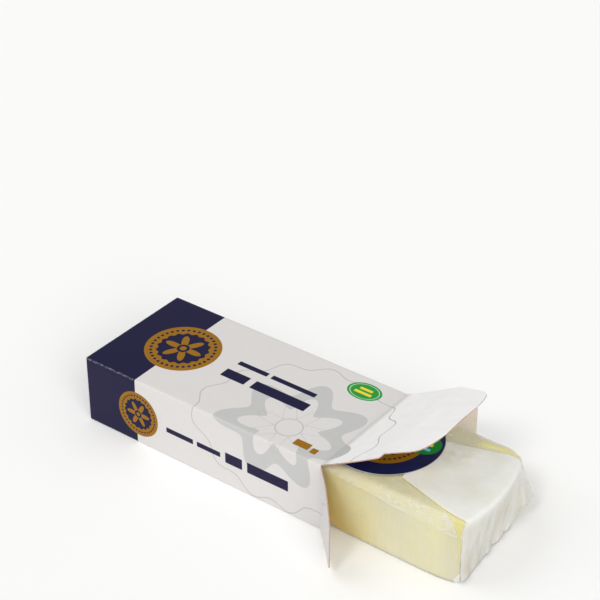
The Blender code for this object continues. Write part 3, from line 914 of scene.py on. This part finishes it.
def closed_skin(name, skin, material):
    """A closed mesh from rings of points, each ring meeting itself, with a flat cap at each end."""
    rings, around = skin.shape[:2]
    number = np.arange(rings * around).reshape(rings, around)
    onward = np.roll(number, -1, axis=1)
    faces = np.stack([number[:-1], onward[:-1], onward[1:], number[1:]], axis=-1).reshape(-1, 4).tolist()
    faces.append(number[0][::-1].tolist())
    faces.append(number[-1].tolist())
    mesh = bpy.data.meshes.new(name)
    mesh.from_pydata((skin.reshape(-1, 3) * MM).tolist(), [], faces)
    mesh.materials.append(material)
    mesh.shade_smooth()
    return in_scene(name, mesh)


def place_and_axes(shader):
    """Where the surface is, in millimetres, and the same as three numbers."""
    node = shader.id_data.nodes.new("ShaderNodeTexCoord")
    place = stretched(node.outputs["Object"], *[1 / MM] * 3)
    return place, *axes(place)


butter, shader = principled("butter")
place, at_x, at_y, at_z = place_and_axes(shader)
cloud = ramp(speckle(place, 9.0, 3.0), 0.35, 0.65)
streak = ramp(speckle(stretched(place, 1.0, 1.0, 0.3), 2.2, 3.0), 0.45, 0.75)
fat = lay_over(colour(238, 229, 146), colour(240, 233, 162), cloud)
fat = lay_over(fat, colour(234, 220, 120), times(streak, 0.4))
# By the mouth the side is painted darker and deeper yellow up to a slanting line: a painted shadow of the
# near dust flap.
# Painted shadow: the slanting line is the edge of the near dust flap's shadow on the side.
by_mouth = scaled(at_z, 0.66, at_x)
painted_flap_shadow = times(opposite(ramp(by_mouth, 69.0, 90.0)), ramp(at_y, -20.0, -24.0))
fat = lay_over(fat, colour(198, 170, 92), times(painted_flap_shadow, 0.9))
# At the near outer corner the butter is painted a darker yellow: painted shade against the light its rounded
# corner catches.
corner_painted_shade = times(ramp(at_x, 110.0, 117.0), ramp(at_y, -18.0, -22.0))
fat = lay_over(fat, colour(214, 204, 126), times(corner_painted_shade, 0.85))
feed_all(shader, Base_Color=fat, Roughness=0.38)
feed_all(shader, Subsurface_Weight=0.25, Subsurface_Radius=(1.0, 0.8, 0.35), Subsurface_Scale=2.0 * MM)
set_relief(shader, speckle(place, 3.0, 2.0), 0.10 * MM)

butter_points = wrapped_form(block_skin(FILM_DEPTH))
butter_points[..., 2] += 0.10 * ripple(butter_points, (14, 9, 9), 3.0)
butter_block = closed_skin("butter", butter_points, butter)
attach(butter_block, CARTON_BODY)


# The film: a clear sheet wound once round the block. It clings to the sides, where the butter shows
# through a thin milky haze, and it is crumpled and whiter along the worn top edge and over the outer end.
TAB_LENGTH = 33.0
TAB_NEAR_FOLD, TAB_NEAR_TIP = 23.6, 14.5
TAB_FAR_FOLD, TAB_FAR_TIP = 23.2, 13.8
TAB_TIP_X = BLOCK_OUTER_X - TAB_LENGTH
THINNEST_VEIL = 0.04

film, shader = principled("clinging film")
place, at_x, at_y, at_z = place_and_axes(shader)
near_side = ramp(at_y, -12.0, -13.0)
upright_haze = speckle(stretched(place, 1.0, 1.0, 0.12), 4.0, 2.0)
veil = scaled(ramp(upright_haze, 0.25, 0.75), 0.09, 0.38)
veil = scaled(ramp(speckle(place, 14.0, 2.0), 0.3, 0.7), 0.12, veil)

# Along the worn near top edge the film stands off the butter in small folds, which look white; the thin
# broken line along the edge is painted whiter still, partly as a painted highlight.
share = work_out("POWER", ramp(at_x, MOUTH_X, BLOCK_OUTER_X), 1.2)
above_worn = minus(at_z, scaled(share, -WORN_DROP_GROWTH, BLOCK_TOP - WORN_DROP_AT_MOUTH))
on_worn_top = times(near_side, ramp(above_worn, 0.2, 1.0))
wandering = scaled(speckle(place, 6.0, 2.0), 2.4, -1.2)
white_line_and_highlight = between(work_out("ADD", above_worn, wandering), 0.0, 0.3, 1.7)
broken = ramp(speckle(stretched(place, 0.45, 1.0, 1.0), 3.2, 3.0, 0.6), 0.05, 0.75)
folds = ramp(speckle(stretched(place, 0.45, 1.0, 1.0), 3.0, 3.0), 0.45, 0.62)
off_wisp = away_from(speckle(stretched(place, 0.45, 1.0, 0.8), 5.0, 2.0), 0.5)
wisps = times(ramp(off_wisp, 0.085, 0.0), ramp(speckle(place, 6.0, 2.0), 0.35, 0.65))
cloudy = times(ramp(above_worn, -1.2, 1.0), ramp(speckle(place, 5.0, 3.0), 0.2, 0.6))
veil = strongest(
    veil,
    times(white_line_and_highlight, near_side, broken, 0.92),
    times(folds, on_worn_top, scaled(share, 0.45, 0.35)),
    times(wisps, ramp(above_worn, -5.0, 0.5), 0.80),
    times(near_side, cloudy, scaled(share, 0.40, 0.28)),
)

# Where it clings with no air under it the butter shows in its full yellow: along the near edge of the folded
# flap and down the corner below it, and in a streak by the far edge. On the side by the mouth the haze is
# taken off as painted shade, up to the slanting edge of the near dust flap's shadow.
tab_slope = (TAB_NEAR_FOLD - TAB_NEAR_TIP) / TAB_LENGTH
tab_edge_y = scaled(at_x, -tab_slope, tab_slope * TAB_TIP_X - TAB_NEAR_TIP)
line_width = scaled(ramp(at_x, 104.0, 119.0), 0.7, 0.55)
past_line = minus(minus(tab_edge_y, at_y), line_width)
clear_line = times(
    opposite(ramp(past_line, -0.1, 0.35)),
    ramp(at_x, TAB_TIP_X - 3.0, TAB_TIP_X),
    ramp(at_z, 21.0, 23.0),
    ramp(at_y, -10.0, -11.0),
    0.88,
)
streak_start = scaled(at_z, -0.03, 119.2)
streak_edge = scaled(speckle(place, 3.5, 2.0), 1.2, -0.6)
past_start = work_out("ADD", minus(at_x, streak_start), streak_edge)
corner_streak = times(ramp(past_start, -0.7, 1.0), near_side, ramp(at_z, 3.0, 12.0), 0.62)
far_streak = times(
    between(scaled(at_x, -0.17, at_y), 3.6, 5.0, 1.0),
    between(at_x, 101.0, 114.0, 4.0),
    ramp(at_z, 24.0, 26.0),
    0.85,
)
# Painted shade: by the mouth, up to the edge of the near dust flap's shadow, the haze is taken off so the
# butter looks deep and golden.
by_mouth = scaled(at_z, 0.66, at_x)
clear_in_painted_shadow = times(opposite(ramp(by_mouth, 70.0, 92.0)), near_side, opposite(on_worn_top))
clear = strongest(clear_line, corner_streak, far_streak, clear_in_painted_shadow)
veil = times(veil, scaled(clear, -0.92, 1.0))

# The open end's layers start at the corner, along a torn edge.
torn = scaled(speckle(stretched(place, 1.0, 1.0, 0.3), 3.0, 3.0), 1.6, -0.8)
sooner = strongest(ramp(at_y, -12.0, 10.0), ramp(at_z, 6.0, 2.0))
over_end = ramp(scaled(sooner, 2.2, work_out("ADD", at_x, torn)), 119.3, 120.3)
end_layers = scaled(ramp(speckle(place, 3.0, 3.0), 0.35, 0.65), 0.16, 0.78)
veil = strongest(veil, times(over_end, end_layers), THINNEST_VEIL)
feed_all(shader, Base_Color=(*colour(230, 229, 222), 1.0), Alpha=work_out("MINIMUM", veil, 1.0))
feed_all(shader, Roughness=0.30, Coat_Weight=0.35, Coat_Roughness=0.15)
creases = away_from(speckle(stretched(place, 0.6, 1.0, 1.0), 3.4, 2.0), 0.5)
creased = strongest(ramp(above_worn, -1.0, 1.0), over_end)
set_relief(shader, times(creases, creased), 0.9 * MM, 0.6)

# The crumple itself: small dents near the two upper edges, and a ridge along the worn one.
DENT_HEIGHT, FINE_DENT_HEIGHT = 0.26, 0.10
RIDGE_HEIGHT, RIDGE_WIDTH = 0.5, 0.55
film_points = wrapped_form(block_skin(0.0))
along, across, up = film_points[..., 0], film_points[..., 1], film_points[..., 2]
upper_edges = blend(17.0, 27.5, up) * blend(15.0, 25.0, np.abs(across))
outward = grid_of(0.0, across, up - BLOCK_TOP / 2)
outward /= np.linalg.norm(outward, axis=-1, keepdims=True) + 1e-6
crumple = DENT_HEIGHT * ripple(film_points, (5.5, 2.6, 2.6), 11.0)
crumple += FINE_DENT_HEIGHT * ripple(film_points, (2.4, 1.8, 1.8), 29.0)
off_worn = up - (BLOCK_TOP - worn_drop(along))
crumple += RIDGE_HEIGHT * np.exp(-((off_worn / RIDGE_WIDTH) ** 2)) * (across < -20)
film_points += outward * (upper_edges * (crumple + 0.05))[..., None]
film_wrap = closed_skin("film_wrap", film_points, film)
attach(film_wrap, CARTON_BODY)
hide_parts("wrapped_butter_block")


# The end folds: at each end the film's open end is pleated flat against the block, and the flap that is
# left is folded up over the end and laid on the top. Four to six layers of it look white.
TAB_RISE = 0.3
OUTER_EDGE_RISE, INNER_EDGE_RISE = 0.10, 0.16
TAB_FOLD = 1.1
TAB_WIDENING = 1.8
FILM_LAYERS = 0.14
PLEAT_DEPTH, WAVE_DEPTH = 0.7, 0.35
TOP_WAVE = 0.13
HEM_STEP, HEM_STAND, HEM_FLUTE = 2.0, 0.35, 0.9

folded_film, shader = principled("folded film")
place, at_x, at_y, at_z = place_and_axes(shader)
on_end = ramp(at_x, 117.0, 119.5)
lower_end = times(on_end, ramp(at_z, 28.0, 17.0))
thin_spots = ramp(speckle(place, 10.0, 3.0), 0.44, 0.70)
by_label = times(between(at_x, 92.0, 100.0, 5.0), between(at_y, 6.0, 16.0, 4.0))
by_label = times(by_label, ramp(speckle(place, 5.0, 2.0), 0.4, 0.6))
# Up the lower end face, streaks are painted along the pleats: the grey ones are painted shade in the folds,
# the beige ones partly the butter's tone through fewer layers and partly painted shade.
beige_pleat_tone_and_shade = ramp(speckle(stretched(place, 0.4, 1.0, 0.18), 4.2, 2.0), 0.46, 0.70)
grey_pleat_shade = ramp(speckle(stretched(place, 0.5, 1.3, 0.26), 3.0, 2.0), 0.50, 0.70)
layers = colour(241, 238, 232)
# The end face below the top fold is painted a duller white than the top: painted shade on the upright end
# face.
for shade, mask, most in (
    (colour(228, 223, 204), thin_spots, 0.40),
    (colour(220, 214, 192), by_label, 0.45),
    (colour(215, 212, 204), times(on_end, ramp(at_z, 29.0, 25.0)), 0.85),
    (colour(204, 189, 166), times(beige_pleat_tone_and_shade, lower_end), 0.65),
    (colour(188, 187, 185), times(grey_pleat_shade, lower_end), 0.50),
):
    layers = lay_over(layers, shade, times(mask, most))
feed_all(shader, Base_Color=layers, Roughness=0.42, Specular_IOR_Level=0.35)
feed_all(shader, Subsurface_Weight=0.10, Subsurface_Scale=1.0 * MM)
soft_dents = speckle(place, 6.0, 2.0)
fine_pleats = speckle(stretched(place, 0.3, 1.0, 0.28), 4.5, 1.0)
set_relief(shader, scaled(times(fine_pleats, on_end), 0.25, soft_dents), 0.45 * MM, 0.7)


def tab_points(rise, edge_rise):
    """The folded flap on the straight block: rows from its tip over the top fold and down to the foot."""
    side = np.linspace(1, -1, 113)
    lift = edge_rise + (rise - edge_rise) * (1 - np.abs(side) ** 14)
    # Each row: its place along and below the top, its share of the way to the tip, and its turn at the fold.
    runs = np.linspace(TAB_LENGTH, TAB_FOLD, 34)
    rows = [(BLOCK_OUTER_X - run, 0.0, run / TAB_LENGTH, 0.0) for run in runs]
    for turn in np.radians(np.linspace(0, 90, 7))[1:]:
        back, down = TAB_FOLD * (1 - math.sin(turn)), TAB_FOLD * (1 - math.cos(turn))
        rows.append((BLOCK_OUTER_X - back, down, 0.0, turn))
    for down in np.linspace(TAB_FOLD, BLOCK_TOP - 0.5, 26)[1:]:
        rows.append((BLOCK_OUTER_X, down, 0.0, math.pi / 2))
    points = []
    for x, down, to_tip, turn in rows:
        near = TAB_NEAR_FOLD + (TAB_NEAR_TIP - TAB_NEAR_FOLD) * to_tip
        far = TAB_FAR_FOLD + (TAB_FAR_TIP - TAB_FAR_FOLD) * to_tip
        near += TAB_WIDENING * min(max((down - 1.5) / 5.0, 0.0), 1.0)
        across = np.where(side > 0, side * far, side * near)
        points.append(grid_of(x + lift * math.sin(turn), across, BLOCK_TOP - down + lift * math.cos(turn)))
    return np.array(points)


def film_sheet(name, points):
    mesh = grid_mesh(name, points)
    mesh.materials.append(folded_film)
    piece = in_scene(name, mesh)
    thickness = piece.modifiers.new("layers", "SOLIDIFY")
    thickness.thickness = FILM_LAYERS * MM
    thickness.offset = -1.0
    settle(piece, 60.0)
    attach(piece, CARTON_BODY)


flat_tab = tab_points(TAB_RISE, OUTER_EDGE_RISE)
outer_tab = wrapped_form(flat_tab)
# Pleats run up the end face from its foot and die out below the top fold. Each is sharp on one side.
below_top = BLOCK_TOP - flat_tab[..., 2]
down_end = np.clip(below_top / BLOCK_TOP, 0, 1)
pleats = np.zeros(flat_tab.shape[:2])
for pleat_y, lean, width, depth in (
    (-18.0, 0.10, 1.8, 0.30),
    (-9.5, 0.22, 1.4, 0.55),
    (-3.0, -0.08, 2.4, 0.30),
    (6.5, 0.15, 1.6, 0.50),
    (11.5, -0.18, 2.2, 0.35),
    (17.5, 0.12, 1.5, 0.45),
):
    off_centre = flat_tab[..., 1] - pleat_y - lean * below_top
    pleats += depth * np.exp(-((off_centre / np.where(off_centre < 0, 0.35 * width, 1.5 * width)) ** 2))
waves = ripple(flat_tab, (9, 7.0, 20), 5.0)
outer_tab[..., 0] += blend(1.5, 7.0, below_top) * down_end * (PLEAT_DEPTH * pleats + WAVE_DEPTH * waves)
on_top = (1 - blend(0.0, 2.0, below_top)) * blend(0.0, 4.0, 24 - np.abs(flat_tab[..., 1]))
outer_tab[..., 2] += on_top * TOP_WAVE * ripple(flat_tab, (17, 8, 9), 17.0)
# The flap's raw foot ends unevenly and stands off the block in small flutes.
foot = blend(0.72, 1.0, down_end)
outer_tab[..., 2] += foot * HEM_STEP * np.abs(ripple(flat_tab, (50, 5.0, 50), 41.0))
outer_tab[..., 0] += foot**2 * (HEM_STAND + HEM_FLUTE * ripple(flat_tab, (50, 6.0, 50), 23.0))
film_sheet("outer_end_fold", outer_tab)

inner_tab = tab_points(TAB_RISE, INNER_EDGE_RISE)
inner_tab[..., 0] = BLOCK_INNER_X + BLOCK_OUTER_X - inner_tab[..., 0]
inner_tab[..., 2] += (1 - np.clip(inner_tab[..., 2] / BLOCK_TOP, 0, 1)) * FOOT_ON_BOARD
film_sheet("inner_end_fold", inner_tab[:, ::-1])


# The round label: glossy paper, stuck over the tips of both end folds to hold them down. Navy, with a gold
# middle that carries a plain flower, and a small green disc near its edge.
LABEL_RADIUS = 23.4
LABEL_X, LABEL_Y = 68.5, 1.6
LABEL_LIFT = 0.64
LABEL_THICKNESS = 0.1
LABEL_WAVE = 0.05
LABEL_NAVY = colour(16, 22, 72)

label_paper, shader = principled("label paper")
place = sheet_place(shader)
press = Print(place)
layout = LABEL_NAVY
for ink, outline in (
    (GOLD_INK, press.disc(0, 0, 16.4)),
    (colour(60, 46, 24), press.beads(0, 0, 13.8, 44, 1.3)),
    (LABEL_NAVY, press.petals(0, 0, 11.4, 18, 0.04)),
    (GOLD_INK, press.petals(0, 0, 8.8, 6, 0.34)),
    (LABEL_NAVY, press.disc(0, 0, 2.6)),
    (colour(14, 132, 48), press.disc(14.8, 5.45, 6.4)),
    (colour(120, 200, 236), press.bar(11.2, 18.4, 2.3, 3.9)),
    (YELLOW_INK, press.bar(11.8, 17.8, 5.4, 7.0)),
    (YELLOW_INK, press.bar(12.8, 16.8, 8.2, 9.3)),
    (colour(206, 206, 210), press.ring(0, 0, LABEL_RADIUS - 0.05, 0.3)),
):
    layout = lay_over(layout, ink, outline)
feed_all(shader, Base_Color=layout, Roughness=0.30, Specular_IOR_Level=0.15)
set_relief(shader, speckle(place, 7.0, 2.0), 0.10 * MM)

ring_radii = np.concatenate([np.linspace(0.5, 22.6, 30), [23.0, 23.25, LABEL_RADIUS]])[:, None]
label_turn = np.linspace(0, math.tau, 121)[None]
label_u = ring_radii * np.cos(label_turn)
label_v = ring_radii * np.sin(label_turn)
label_points = grid_of(LABEL_X + label_u, LABEL_Y + label_v, BLOCK_TOP + LABEL_LIFT)
label_points[..., 2] += LABEL_WAVE * ripple(label_points, (11, 11, 11), 7.0)
label_mesh = grid_mesh("label", label_points, grid_of(label_u, label_v))
label_mesh.materials.append(label_paper)
label = in_scene("label", label_mesh)
paper_thickness = label.modifiers.new("paper", "SOLIDIFY")
paper_thickness.thickness = LABEL_THICKNESS * MM
paper_thickness.offset = 0.0
settle(label)
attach(label, CARTON_BODY)
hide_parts("round_label")
